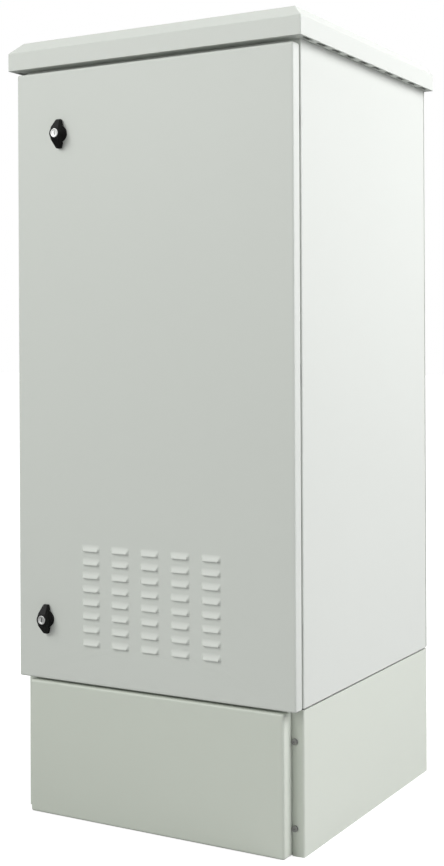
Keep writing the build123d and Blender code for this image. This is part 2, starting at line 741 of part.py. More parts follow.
def hinge_frame_leaf(height):
    """The leaf on the body: a foot, and a cranked arm that the door's edge swings round."""
    foot_x = (HINGE_X - HINGE_FOOT_FROM_AXIS - HINGE_FOOT_WIDTH, HINGE_X - HINGE_FOOT_FROM_AXIS)
    foot_front = BODY_FRONT - HINGE_ARM_THICKNESS
    foot_z = (height - HINGE_FOOT_HEIGHT / 2, height + HINGE_FOOT_HEIGHT / 2)
    leaf = block(foot_x, (foot_front, BODY_FRONT), foot_z)
    arm_x = HINGE_X - HINGE_ARM_FROM_AXIS
    knuckle_z = (height - HINGE_KNUCKLE_HEIGHT / 2, height + HINGE_KNUCKLE_HEIGHT / 2)
    points = [(arm_x, BODY_FRONT - 1), (arm_x, HINGE_Y), (HINGE_X, HINGE_Y)]
    leaf += folded_upright(points, HINGE_ARM_THICKNESS, HINGE_ARM_RADIUS, knuckle_z)
    leaf += rod_z(HINGE_X, HINGE_Y, HINGE_KNUCKLE_RADIUS, knuckle_z)
    leaf -= rod_z(HINGE_X, HINGE_Y, HINGE_PIN_RADIUS + RUNNING_CLEARANCE, knuckle_z)
    return leaf


def hinge_door_leaf(height):
    """The leaf welded inside the door: a base plate with an ear that stands on the frame's knuckle."""
    plate_right = HINGE_X + HINGE_KNUCKLE_RADIUS
    plate_x = (plate_right - HINGE_LEAF_WIDTH, plate_right)
    plate_back = DOOR_INNER + HINGE_LEAF_THICKNESS
    ear_z = hinge_ear_span(height)
    leaf = block(plate_x, (DOOR_INNER, plate_back), (height - HINGE_LEAF_HEIGHT / 2, ear_z[1]))
    ear_x = (HINGE_X - HINGE_KNUCKLE_RADIUS, HINGE_X + HINGE_KNUCKLE_RADIUS)
    leaf += block(ear_x, (plate_back, HINGE_Y), ear_z)
    leaf += rod_z(HINGE_X, HINGE_Y, HINGE_KNUCKLE_RADIUS, ear_z)
    return leaf - rod_z(HINGE_X, HINGE_Y, HINGE_PIN_RADIUS, ear_z)


def hinge_ear_span(height):
    low = height + HINGE_KNUCKLE_HEIGHT / 2 + AXIAL_CLEARANCE
    return low, low + HINGE_EAR_HEIGHT


def hinge_pins():
    """Pins pressed into the door's ears, running in the frame's knuckles."""
    return [
        rod_z(
            HINGE_X,
            HINGE_Y,
            HINGE_PIN_RADIUS,
            (height - HINGE_KNUCKLE_HEIGHT / 2 - HINGE_PIN_TAIL, hinge_ear_span(height)[1]),
        )
        for height in hinge_heights()
    ]


# Door
def louvre_places():
    """The middle of each louvre's open lower edge, as (X, Z)."""
    return [
        (
            (column - (LOUVRE_COLUMNS - 1) / 2) * LOUVRE_PITCH_X,
            LOUVRE_TOP - LOUVRE_HEIGHT - row * LOUVRE_PITCH_Z,
        )
        for column in range(LOUVRE_COLUMNS)
        for row in range(LOUVRE_ROWS)
    ]


def louvre_outline(half_width, height, corner):
    """A louvre seen from the front: straight along its mouth, its upper corners cut back."""
    shoulder = half_width - corner
    line = Polyline(
        (-half_width, 0),
        (-half_width, height - corner),
        (-shoulder, height),
        (shoulder, height),
        (half_width, height - corner),
        (half_width, 0),
        close=True,
    )
    return make_face(line)


def louvre_form(root, rise):
    """One louvre's outer form from its root plane: it slopes out and down to its mouth."""
    base = louvre_outline(LOUVRE_WIDTH / 2, LOUVRE_HEIGHT, LOUVRE_CORNER)
    crest = louvre_outline(LOUVRE_WIDTH / 2 - LOUVRE_END_SLOPE, LOUVRE_MOUTH, LOUVRE_MOUTH / 2)
    front = Plane.XZ.offset(-root)
    return loft([front * base, front.offset(rise) * crest])


def door_panel():
    """The door's folded tray with its pressed louvres and its returns behind."""
    y = (DOOR_FACE, DOOR_BACK)
    z = (DOOR_BOTTOM, DOOR_TOP)
    door = tray(SIDE, y, z, DOOR_SHEET, TRAY_RADIUS)
    door += door_returns()
    outer_form = louvre_form(DOOR_FACE, LOUVRE_RISE)
    void_form = louvre_form(DOOR_INNER, LOUVRE_RISE - LOUVRE_WALL + DOOR_SHEET)
    door += [Pos(x, 0, mouth_z) * outer_form for x, mouth_z in louvre_places()]
    door -= [Pos(x, 0, mouth_z) * void_form for x, mouth_z in louvre_places()]
    hole = LOCK_BARREL_RADIUS + LOCK_HOLE_CLEARANCE
    return door - [rod_y(x, height, hole, (DOOR_FACE, DOOR_INNER)) for x, height in LOCKS.values()]


def door_returns():
    """The second fold round the back of the door, notched where the hinge arms pass."""
    outer = SIDE - DOOR_SHEET
    inner = SIDE - DOOR_RETURN
    y = (DOOR_BACK - DOOR_SHEET, DOOR_BACK)
    ring = block((-outer, outer), y, (DOOR_BOTTOM + DOOR_SHEET, DOOR_TOP - DOOR_SHEET))
    ring -= block((-inner, inner), y, (DOOR_BOTTOM + DOOR_RETURN, DOOR_TOP - DOOR_RETURN))
    for height in hinge_heights():
        half = HINGE_KNUCKLE_HEIGHT / 2 + HINGE_NOTCH_MARGIN
        ring -= block((inner, outer), y, (height - half, height + half))
    return ring


def door_stiffener(side_sign):
    """A channel up the inside of the door, open towards the panel."""
    half = STIFFENER_SHEET / 2
    low_x = STIFFENER_CENTRE_X - STIFFENER_WIDTH / 2 + half
    high_x = STIFFENER_CENTRE_X + STIFFENER_WIDTH / 2 - half
    crown = DOOR_INNER + STIFFENER_DEPTH - half
    points = [(low_x, DOOR_INNER), (low_x, crown), (high_x, crown), (high_x, DOOR_INNER)]
    z = (gasket_bottom() + GASKET_WIDTH + STIFFENER_END_GAP, gasket_top() - GASKET_WIDTH - STIFFENER_END_GAP)
    channel = folded_upright(points, STIFFENER_SHEET, 0, z)
    return channel if side_sign > 0 else mirror(channel, about=Plane.YZ)


def gasket_bottom():
    return OPENING_BOTTOM - (BODY_SHEET + GASKET_WIDTH) / 2


def gasket_top():
    return OPENING_TOP + (BODY_SHEET + GASKET_WIDTH) / 2


def door_gasket():
    """The seal stuck inside the door, square on to the body's rain lip."""
    outer = OPENING_SIDE + (BODY_SHEET + GASKET_WIDTH) / 2
    inner = outer - GASKET_WIDTH
    y = (DOOR_INNER, LIP_TIP - SOFT_CLEARANCE)
    ring = block((-outer, outer), y, (gasket_bottom(), gasket_top()))
    hollow_z = (gasket_bottom() + GASKET_WIDTH, gasket_top() - GASKET_WIDTH)
    return ring - block((-inner, inner), y, hollow_z)


def filter_span():
    """The filter holder's outer half width and its lower and upper limits."""
    half_x = (LOUVRE_COLUMNS - 1) * LOUVRE_PITCH_X / 2 + LOUVRE_WIDTH / 2 + FILTER_MARGIN_X
    bottom = LOUVRE_TOP - LOUVRE_HEIGHT - (LOUVRE_ROWS - 1) * LOUVRE_PITCH_Z - FILTER_MARGIN_Z
    return half_x, bottom, LOUVRE_TOP + FILTER_MARGIN_Z


def filter_guide_x():
    """The inner faces of the guides' walls, just clear of the holder's sides."""
    return filter_span()[0] + SOFT_CLEARANCE


def filter_guides():
    """Folded guides welded to the door on both sides, which the filter holder slides down into."""
    half = FILTER_SHEET / 2
    wall_x = filter_guide_x() + half
    crown_y = DOOR_INNER + FILTER_DEPTH + SOFT_CLEARANCE + half
    bottom, top = filter_span()[1:]
    points = [(wall_x, DOOR_INNER), (wall_x, crown_y), (wall_x - FILTER_GUIDE_LIP, crown_y)]
    stop_x = (filter_guide_x() - FILTER_GUIDE_LIP, filter_guide_x() + FILTER_SHEET)
    stop_z = (bottom - FILTER_SHEET, bottom)
    guide = folded_upright(points, FILTER_SHEET, 0, (bottom - FILTER_SHEET, top))
    guide += block(stop_x, (DOOR_INNER, crown_y + half), stop_z)
    return both_sides(guide)


def filter_holder():
    """A shallow tray over the louvres that holds the filter mat, with windows through it."""
    half_x, bottom, top = filter_span()
    back = DOOR_INNER + FILTER_DEPTH
    holder = block((-half_x, half_x), (DOOR_INNER, back), (bottom, top))
    holder -= block(
        (FILTER_SHEET - half_x, half_x - FILTER_SHEET),
        (DOOR_INNER, back - FILTER_SHEET),
        (bottom + FILTER_SHEET, top - FILTER_SHEET),
    )
    pitch_x = (2 * half_x - FILTER_BAR) / FILTER_WINDOWS_X
    pitch_z = (top - bottom - FILTER_BAR) / FILTER_WINDOWS_Z
    windows = []
    for column in range(FILTER_WINDOWS_X):
        left = FILTER_BAR - half_x + column * pitch_x
        window_x = (left, left + pitch_x - FILTER_BAR)
        for row in range(FILTER_WINDOWS_Z):
            low = bottom + FILTER_BAR + row * pitch_z
            window_z = (low, low + pitch_z - FILTER_BAR)
            windows.append(block(window_x, (back - FILTER_SHEET, back), window_z))
    return holder - windows


def filter_mat():
    half_x, bottom, top = filter_span()
    inset = FILTER_SHEET + SOFT_CLEARANCE
    y = (DOOR_INNER + SOFT_CLEARANCE, DOOR_INNER + FILTER_DEPTH - inset)
    return block((inset - half_x, half_x - inset), y, (bottom + inset, top - inset))


# Locks
def lock_housing(name):
    """A flanged barrel through the door that the knob's shaft turns in."""
    x, z = LOCKS[name]
    flange_front = DOOR_FACE - LOCK_FLANGE_THICKNESS
    barrel_back = DOOR_FACE + LOCK_BARREL_LENGTH
    flange = rod_y(x, z, LOCK_FLANGE_RADIUS, (flange_front, DOOR_FACE))
    flange = chamfer(edges_at_depth(flange, flange_front), WING_EDGE_RADIUS)
    housing = flange + rod_y(x, z, LOCK_BARREL_RADIUS, (DOOR_FACE, barrel_back))
    return housing - rod_y(x, z, SHAFT_RADIUS + RUNNING_CLEARANCE, (flange_front, barrel_back))


def lock_nuts():
    y = (DOOR_INNER, DOOR_INNER + LOCK_NUT_THICKNESS)
    return [
        hexagon_y(x, z, LOCK_NUT_ACROSS, y) - rod_y(x, z, LOCK_BARREL_RADIUS, y)
        for x, z in LOCKS.values()
    ]


def wing_outline():
    """The knob seen from the front: a lozenge that runs from the boss to two blunt tips."""
    half_tip = WING_TIP_WIDTH / 2
    line = Polyline(
        (-half_tip, -WING_REACH),
        (half_tip, -WING_REACH),
        (KNOB_BOSS_RADIUS, 0),
        (half_tip, WING_REACH),
        (-half_tip, WING_REACH),
        (-KNOB_BOSS_RADIUS, 0),
        close=True,
    )
    return make_face(line)


def wing_profile():
    """Both wings seen from the side as (Y, Z) offsets: low at the tips, high at the boss."""
    back = DOOR_FACE - WING_DOOR_GAP
    tip = DOOR_FACE - WING_TIP_PROJECTION
    shoulder = KNOB_FACE + WING_EDGE_RADIUS
    line = Polyline(
        (back, -WING_REACH),
        (tip, -WING_REACH),
        (shoulder, -KNOB_BOSS_RADIUS),
        (shoulder, KNOB_BOSS_RADIUS),
        (tip, WING_REACH),
        (back, WING_REACH),
        close=True,
    )
    return make_face(line)


def knob_wings():
    """Two wings that slope from the boss to the tips and reach back round the lock's flange."""
    lozenge = extrude(Plane.XZ * wing_outline(), amount=2 * KNOB_PROJECTION, both=True)
    lozenge = Pos(0, DOOR_FACE, 0) * lozenge
    wings = lozenge & extrude(Plane.YZ * wing_profile(), amount=KNOB_BOSS_RADIUS, both=True)
    outer = [edge for edge in wings.edges() if edge.center().Y < DOOR_FACE - 1.5 * WING_DOOR_GAP]
    wings = fillet(outer, WING_EDGE_RADIUS)
    recess = LOCK_FLANGE_RADIUS + WING_FLANGE_CLEARANCE
    return wings - rod_y(0, 0, recess, (KNOB_BACK, DOOR_FACE))


def knob(name):
    """The wing knob in one casting: skirt, boss, two wings and the shaft with a squared end."""
    x, z = LOCKS[name]
    boss = rod_y(0, 0, KNOB_BOSS_RADIUS, (KNOB_FACE, KNOB_BACK))
    boss = chamfer(edges_at_depth(boss, KNOB_FACE), WING_EDGE_RADIUS)
    skirt = rod_y(0, 0, KNOB_SKIRT_RADIUS, (KNOB_BACK - KNOB_SKIRT_THICKNESS, KNOB_BACK))
    cam_back = CAM_FRONT + CAM_THICKNESS
    shaft = rod_y(0, 0, SHAFT_RADIUS, (KNOB_BACK, CAM_FRONT))
    half_square = CAM_SQUARE / 2
    square = block((-half_square, half_square), (CAM_FRONT, cam_back), (-half_square, half_square))
    body = boss + knob_wings() + skirt + shaft + square
    body -= rod_y(0, 0, PLUG_RADIUS + RUNNING_CLEARANCE, (KNOB_FACE, KNOB_FACE + PLUG_DEPTH))
    body -= rod_y(0, 0, CAM_SCREW_RADIUS, (CAM_FRONT - M8_HEIGHT, cam_back))
    return Pos(x, 0, z) * body


def key_plug(name):
    """The lock cylinder's plug in the knob's face, with its keyhole."""
    x, z = LOCKS[name]
    back = KNOB_FACE + PLUG_DEPTH - AXIAL_CLEARANCE
    plug = rod_y(x, z, PLUG_RADIUS, (KNOB_FACE, back))
    half_width = KEYHOLE_WIDTH / 2
    half_height = KEYHOLE_HEIGHT / 2
    keyhole_y = (KNOB_FACE, KNOB_FACE + KEYHOLE_DEPTH)
    keyhole_z = (z - half_height, z + half_height)
    return plug - block((x - half_width, x + half_width), keyhole_y, keyhole_z)


def cam(name):
    """The latch cam, hanging down at rest; a quarter turn brings it behind the frame."""
    x, z = LOCKS[name]
    reach = x + OPENING_SIDE + CAM_ENGAGEMENT
    radius = CAM_WIDTH / 2
    straight = reach - radius
    plate = rod_y(x, z, radius, (CAM_FRONT, CAM_FRONT + CAM_THICKNESS))
    plate += rod_y(x, z - straight, radius, (CAM_FRONT, CAM_FRONT + CAM_THICKNESS))
    plate += block((x - radius, x + radius), (CAM_FRONT, CAM_FRONT + CAM_THICKNESS), (z - straight, z))
    half = CAM_SQUARE / 2 + RUNNING_CLEARANCE
    return plate - block((x - half, x + half), (CAM_FRONT, CAM_FRONT + CAM_THICKNESS), (z - half, z + half))


def cam_screw(name):
    x, z = LOCKS[name]
    seat = CAM_FRONT + CAM_THICKNESS
    head = hexagon_y(x, z, M6_ACROSS, (seat, seat + M6_HEIGHT))
    return head + rod_y(x, z, CAM_SCREW_RADIUS, (CAM_FRONT - M6_HEIGHT, seat))


# Every piece by name
def pieces():
    made = {
        "plinth_base_frame": plinth_base_frame(),
        "plinth_top_frame": plinth_top_frame(),
        "plinth_front_cover": plinth_front_cover(),
        "plinth_rear_cover": plinth_rear_cover(),
        "plinth_screws": plinth_screws(),
        "plinth_seal": plinth_seal(),
        "plinth_bolts": plinth_bolts(),
        "frame_head": frame_head(),
        "frame_sill": frame_sill(),
        "body_rear_panel": rear_panel(),
        "body_base": body_base(),
        "gland_plate": gland_plate(),
        "gland_screws": gland_screws(),
        "earth_terminal": earth_terminal(),
        "roof_plate": roof_plate(),
        "hood": hood(),
        "hood_pillars": hood_pillars(),
        "hood_nuts": hood_nuts(),
        "rail_screws": rail_screws(),
        "hinge_pins": hinge_pins(),
        "door_panel": door_panel(),
        "door_gasket": door_gasket(),
        "filter_guides": filter_guides(),
        "filter_holder": filter_holder(),
        "filter_mat": filter_mat(),
        "lock_nuts": lock_nuts(),
    }
    for side, side_sign in (("left", -1), ("right", 1)):
        made[f"plinth_side_{side}"] = plinth_side(side_sign)
        made[f"plinth_post_front_{side}"] = plinth_post(side_sign, -1)
        made[f"plinth_post_rear_{side}"] = plinth_post(side_sign, 1)
        made[f"body_side_{side}"] = body_side(side_sign)
        made[f"rack_rail_{side}"] = rack_rail(side_sign)
        made[f"rail_supports_{side}"] = rail_supports(side_sign)
        made[f"door_stiffener_{side}"] = door_stiffener(side_sign)
    for number, height in enumerate(hinge_heights(), start=1):
        made[f"hinge_frame_leaf_{number}"] = hinge_frame_leaf(height)
        made[f"hinge_door_leaf_{number}"] = hinge_door_leaf(height)
    for name in LOCKS:
        made[f"{name}_lock_housing"] = lock_housing(name)
        made[f"{name}_knob"] = knob(name)
        made[f"{name}_key_plug"] = key_plug(name)
        made[f"{name}_cam"] = cam(name)
        made[f"{name}_cam_screw"] = cam_screw(name)
    return made


os.makedirs("parts", exist_ok=True)
for node, shape in pieces().items():
    solids = shape if isinstance(shape, list) else [shape]
    export_step(Compound(children=[part for part in solids]), f"parts/{node}.step")
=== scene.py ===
import json
import math

import bmesh
import bpy
from mathutils import Matrix, Vector

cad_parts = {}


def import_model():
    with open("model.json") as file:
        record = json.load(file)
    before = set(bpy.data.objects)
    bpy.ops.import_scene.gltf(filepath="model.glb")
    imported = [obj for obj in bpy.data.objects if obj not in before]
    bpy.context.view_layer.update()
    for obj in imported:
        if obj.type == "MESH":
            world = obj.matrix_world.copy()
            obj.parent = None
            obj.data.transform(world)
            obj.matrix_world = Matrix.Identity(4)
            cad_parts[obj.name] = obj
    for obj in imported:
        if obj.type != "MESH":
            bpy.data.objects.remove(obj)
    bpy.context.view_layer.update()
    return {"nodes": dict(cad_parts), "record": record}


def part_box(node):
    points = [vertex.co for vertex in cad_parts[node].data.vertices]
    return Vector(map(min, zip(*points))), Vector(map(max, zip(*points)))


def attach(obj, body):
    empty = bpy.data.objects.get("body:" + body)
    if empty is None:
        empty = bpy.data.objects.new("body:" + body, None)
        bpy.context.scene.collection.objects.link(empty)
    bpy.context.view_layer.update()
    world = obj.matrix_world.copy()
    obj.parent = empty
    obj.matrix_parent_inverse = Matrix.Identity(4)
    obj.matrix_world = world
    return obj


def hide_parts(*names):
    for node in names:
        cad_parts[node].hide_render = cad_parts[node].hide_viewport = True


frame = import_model()

# The forms are given in millimetres and scaled to metres as they become meshes. The lights,
# the floor and the camera are given in metres.
MM = 0.001
MERGE_DISTANCE = 0.0005
SQUARE_CORNER = 0.01
CORNER_STEPS = 6


# Meshes
def link(mesh, finish, body, replaced=()):
    """Puts a mesh in the scene, under its own name, as a piece that rides on a body."""
    piece = bpy.data.objects.new(mesh.name, mesh)
    bpy.context.scene.collection.objects.link(piece)
    mesh.materials.append(finish)
    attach(piece, body)
    if replaced:
        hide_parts(*replaced)
    return piece


def smooth(mesh, degrees):
    """Smooth shading, with hard edges where faces meet at more than an angle."""
    for polygon in mesh.polygons:
        polygon.use_smooth = True
    mesh.set_sharp_from_angle(angle=math.radians(degrees))


def settle(piece):
    """Replaces a piece's mesh with what its modifiers make of it."""
    graph = bpy.context.evaluated_depsgraph_get()
    made = bpy.data.meshes.new_from_object(piece.evaluated_get(graph))
    piece.modifiers.clear()
    piece.data = made


def to_mesh(name, form):
    """Turns a finished bmesh into a mesh."""
    mesh = bpy.data.meshes.new(name)
    form.to_mesh(mesh)
    form.free()
    return mesh


def mesh_from(name, build, degrees):
    """A mesh made by a function that fills a bmesh, in millimetres."""
    form = bmesh.new()
    build(form)
    bmesh.ops.remove_doubles(form, verts=form.verts, dist=MERGE_DISTANCE)
    bmesh.ops.recalc_face_normals(form, faces=form.faces)
    bmesh.ops.scale(form, vec=(MM, MM, MM), verts=form.verts)
    mesh = to_mesh(name, form)
    smooth(mesh, degrees)
    return mesh


def block(form, x, y, z):
    """A closed box between two corners, given as a pair on each axis."""
    made = bmesh.ops.create_cube(form, size=1)["verts"]
    bmesh.ops.scale(form, vec=(x[1] - x[0], y[1] - y[0], z[1] - z[0]), verts=made)
    centre = [(low + high) / 2 for low, high in (x, y, z)]
    bmesh.ops.translate(form, vec=centre, verts=made)


def rounded_outline(half_x, low_z, high_z, radius, right_stations=()):
    """A rounded rectangle as (x, z) points, with extra points up its right side."""
    points = []
    centres = (
        (half_x - radius, low_z + radius, -90),
        (half_x - radius, high_z - radius, 0),
        (radius - half_x, high_z - radius, 90),
        (radius - half_x, low_z + radius, 180),
    )
    for corner, (x, z, start) in enumerate(centres):
        for step in range(CORNER_STEPS + 1):
            angle = math.radians(start + 90 * step / CORNER_STEPS)
            points.append((x + radius * math.cos(angle), z + radius * math.sin(angle)))
        if corner == 0:
            points += [(half_x, station) for station in right_stations]
    return points


def ring(form, outline, y):
    """One closed loop of vertices at a depth."""
    return [form.verts.new((x, y, z)) for x, z in outline]


def circle(form, centre, radius, y, segments):
    """A round loop of vertices at a depth."""
    x, z = centre
    turn = [2 * math.pi * step / segments for step in range(segments)]
    return ring(form, [(x + radius * math.cos(a), z + radius * math.sin(a)) for a in turn], y)


def bridge(form, first, second, skip=()):
    """Faces between two loops of the same count, apart from the numbers left out."""
    count = len(first)
    for index in range(count):
        if index in skip:
            continue
        after = (index + 1) % count
        form.faces.new((first[index], first[after], second[after], second[index]))


def loft(form, loops):
    """Faces between each loop and the next."""
    for first, second in zip(loops, loops[1:]):
        bridge(form, first, second)


def closed_edges(form, loop):
    """The edges round a closed loop of vertices, made where they are not there yet."""
    pairs = zip(loop, loop[1:] + loop[:1])
    return [form.edges.get(pair) or form.edges.new(pair) for pair in pairs]


def fill_front(form, edges):
    """Faces over a flat front with openings, between all the edges given."""
    bmesh.ops.triangle_fill(form, use_beauty=True, edges=edges, normal=(0, -1, 0))


def lathe(form, profile, centre, segments):
    """A turned form round an axis along Y, from (radius, y) points; a radius of 0 closes it."""
    x, z = centre
    loops = []
    for radius, y in profile:
        if radius == 0:
            loops.append([form.verts.new((x, y, z))])
        else:
            loops.append(circle(form, centre, radius, y, segments))
    for first, second in zip(loops, loops[1:]):
        if len(first) == 1:
            for index in range(segments):
                form.faces.new((first[0], second[(index + 1) % segments], second[index]))
        elif len(second) == 1:
            for index in range(segments):
                form.faces.new((first[index], first[(index + 1) % segments], second[0]))
        else:
            bridge(form, first, second)


# Folded trays
FACE_BORDER = 2.0
TRAY_SHARP_ANGLE = 40


def tray_front(form, outline, face, radius, steps):
    """The loops of a tray's flat border and of the rounded folds round its face."""
    loops = [ring(form, outline(radius + FACE_BORDER, SQUARE_CORNER), face)]
    for step in range(steps + 1):
        angle = math.radians(90 * step / steps)
        inset = radius * (1 - math.sin(angle))
        y = face + radius * (1 - math.cos(angle))
        loops.append(ring(form, outline(inset, max(radius - inset, SQUARE_CORNER)), y))
    return loops


def tray(name, build, finish, body, sheet, replaced):
    """A piece that gets its sheet's thickness on the inside of the skin that a function builds."""
    mesh = mesh_from(name, build, TRAY_SHARP_ANGLE)
    piece = link(mesh, finish, body, [replaced])
    wall = piece.modifiers.new("sheet", "SOLIDIFY")
    wall.thickness = sheet * MM
    wall.offset = -1
    settle(piece)
    smooth(piece.data, TRAY_SHARP_ANGLE)


# Materials
def material(name, base, roughness, metallic, bump, shade, **sockets):
    """A Principled material with a fine bump and a slight colour variation, both in object space.

    The bump is (scale, height in metres, detail) and the shade is (scale, darkest and lightest
    share of the base colour, kind of pattern).
    """
    made = bpy.data.materials.new(name)
    made.use_nodes = True
    nodes, links = made.node_tree.nodes, made.node_tree.links
    shader = nodes["Principled BSDF"]
    shader.inputs["Roughness"].default_value = roughness
    shader.inputs["Metallic"].default_value = metallic
    for socket, value in sockets.items():
        shader.inputs[socket.replace("_", " ")].default_value = value
    shader.inputs["Base Color"].default_value = (*base, 1)
    place = nodes.new("ShaderNodeTexCoord")

    scale, low, high, kind = shade
    pattern = nodes.new("ShaderNodeTexVoronoi" if kind == "cells" else "ShaderNodeTexNoise")
    pattern.inputs["Scale"].default_value = scale
    links.new(place.outputs["Object"], pattern.inputs["Vector"])
    ramp = nodes.new("ShaderNodeValToRGB")
    for stop, share in zip(ramp.color_ramp.elements, (low, high)):
        stop.color = (*[channel * share for channel in base], 1)
    links.new(pattern.outputs["Color" if kind == "cells" else "Fac"], ramp.inputs["Fac"])
    links.new(ramp.outputs["Color"], shader.inputs["Base Color"])

    scale, height, detail = bump
    grain = nodes.new("ShaderNodeTexNoise")
    grain.inputs["Scale"].default_value = scale
    grain.inputs["Detail"].default_value = detail
    links.new(place.outputs["Object"], grain.inputs["Vector"])
    raised = nodes.new("ShaderNodeBump")
    raised.inputs["Strength"].default_value = 1.0
    raised.inputs["Distance"].default_value = height
    links.new(grain.outputs["Fac"], raised.inputs["Height"])
    links.new(raised.outputs["Normal"], shader.inputs["Normal"])
    return made


PAINT_BUMP = (900, 0.00001, 2)
PAINT_SHADE = (2.5, 0.99, 1.01, "noise")
PAINT = material("cabinet_paint", (0.575, 0.605, 0.56), 0.48, 0.0, PAINT_BUMP, PAINT_SHADE)
PLINTH_PAINT = material("plinth_paint", (0.562, 0.602, 0.53), 0.5, 0.0, PAINT_BUMP, PAINT_SHADE)
ZINC = material(
    "zinc_steel", (0.60, 0.61, 0.62), 0.36, 1.0, (300, 0.00002, 3), (90, 0.82, 1.1, "cells")
)
FASTENER = material(
    "fastener_steel", (0.27, 0.27, 0.265), 0.38, 1.0, (1500, 0.00001, 2), (200, 0.9, 1.05, "noise")
)
RUBBER = material(
    "seal_rubber", (0.02, 0.02, 0.021), 0.7, 0.0, (1200, 0.0001, 3), (300, 0.8, 1.3, "noise")
)
FLEECE = material(
    "filter_fleece", (0.72, 0.72, 0.69), 0.95, 0.0, (700, 0.0008, 6), (160, 0.8, 1.08, "noise"),
    Sheen_Weight=0.3,
)
BLACK = material(
    "knob_black", (0.004, 0.004, 0.004), 0.46, 0.0, (1600, 0.00002, 2), (60, 0.9, 1.2, "noise"),
    Specular_IOR_Level=0.13,
)
CHROME = material(
    "plug_chrome", (0.46, 0.465, 0.455), 0.42, 1.0, (2500, 0.000005, 2), (120, 0.95, 1.03, "noise")
)
SLOT_MATERIALS = {
    "cabinet_paint": PAINT,
    "zinc_steel": ZINC,
    "fastener_steel": FASTENER,
    "seal_rubber": RUBBER,
    "filter_fleece": FLEECE,
    "knob_black": BLACK,
    "plug_chrome": CHROME,
}


# CAD nodes
CAD_SHARP_ANGLE = 30
FLAT_ANGLE = 0.5
EDGE_ANGLE = 50
EDGE_WIDTH = 0.4


def dress_cad_nodes():
    """Each CAD node gets its slot's material, and small rounded edges that catch the light."""
    slots = {row["node"]: row["material_slot"] for row in frame["record"]["subparts"]}
    for name, node in frame["nodes"].items():
        finish = SLOT_MATERIALS[slots[name]]
        if name.startswith("plinth_") and finish is PAINT:
            finish = PLINTH_PAINT
        node.data.materials.clear()
        node.data.materials.append(finish)
        smooth(node.data, CAD_SHARP_ANGLE)
        flat = node.modifiers.new("flat_faces", "DECIMATE")
        flat.decimate_type = "DISSOLVE"
        flat.angle_limit = math.radians(FLAT_ANGLE)
        edge = node.modifiers.new("edges", "BEVEL")
        edge.width = EDGE_WIDTH * MM
        edge.segments = 2
        edge.limit_method = "ANGLE"
        edge.angle_limit = math.radians(EDGE_ANGLE)
        # Keeps large flat faces level in shading, so that only the folds look round.
        level = node.modifiers.new("level_faces", "WEIGHTED_NORMAL")
        level.keep_sharp = True
        level.weight = 100


# Door
SIDE = 300.0
DOOR_FACE, DOOR_BACK = -325.0, -301.0
DOOR_LOW, DOOR_HIGH = 260.0, 1428.0
DOOR_SHEET = 2.0
DOOR_RADIUS = 3.5
DOOR_FOLD_STEPS = 6
DOOR_RETURN = 14.0
RETURN_STEPS = 3
HINGE_HEIGHTS = (395.0, 844.0, 1293.0)
HINGE_NOTCH = 14.0
LOUVRE_COLUMNS, LOUVRE_ROWS = 5, 8
LOUVRE_PITCH_X, LOUVRE_PITCH_Z = 65.4, 25.4
LOUVRE_TOP = 524.5
LOUVRE_WIDTH, LOUVRE_HEIGHT = 42.0, 12.5
LOUVRE_CORNER = 5.0
LOUVRE_CREST = (15.5, 1.2, 1.0)
LOUVRE_RISE = 4.5
LOUVRE_STRAIGHT = 0.3
LOUVRE_STEPS = 10
LOUVRE_BORDER = 1.5
LOCKS = {"upper": (-198.0, 1306.0), "lower": (-233.0, 376.0)}
LOCK_HOLE = 10.1
LOCK_HOLE_SEGMENTS = 40


def arch(half, height, radius):
    """A louvre's outline from the left end of its mouth over the top to the right end."""
    points = [(-half, 0.0)]
    for centre, start in ((radius - half, 180), (half - radius, 90)):
        for step in range(CORNER_STEPS + 1):
            angle = math.radians(start - 90 * step / CORNER_STEPS)
            x = centre + radius * math.cos(angle)
            points.append((x, height - radius + radius * math.sin(angle)))
    return points + [(half, 0.0)]


def louvre_rows(x, z):
    """A louvre's rows of points, from its flat border through its foot up to its crest."""
    half = LOUVRE_WIDTH / 2
    border = arch(half + LOUVRE_BORDER, LOUVRE_HEIGHT + LOUVRE_BORDER, LOUVRE_CORNER + LOUVRE_BORDER)
    foot = arch(half, LOUVRE_HEIGHT, LOUVRE_CORNER)
    crest = arch(*LOUVRE_CREST)
    yield [(x + a, DOOR_FACE, z + b) for a, b in border]
    for step in range(LOUVRE_STEPS + 1):
        share = step / LOUVRE_STEPS
        rise = LOUVRE_RISE * (LOUVRE_STRAIGHT * share + (1 - LOUVRE_STRAIGHT) * share**2)
        yield [
            (x + a + (c - a) * share, DOOR_FACE - rise, z + b + (d - b) * share)
            for (a, b), (c, d) in zip(foot, crest)
        ]


def louvre(form, x, z):
    """One pressed louvre in a narrow flat border; returns the border's outer loop."""
    rows = [[form.verts.new(point) for point in row] for row in louvre_rows(x, z)]
    for first, second in zip(rows, rows[1:]):
        for index in range(len(first) - 1):
            form.faces.new((first[index], first[index + 1], second[index + 1], second[index]))
    form.faces.new(rows[-1])
    outer, mouth = rows[0], rows[1]
    edges = [form.edges.get(pair) for pair in zip(outer, outer[1:])]
    edges += [form.edges.get((outer[-1], mouth[-1])), form.edges.get((mouth[0], outer[0]))]
    return edges + [form.edges.new((mouth[-1], mouth[0]))]


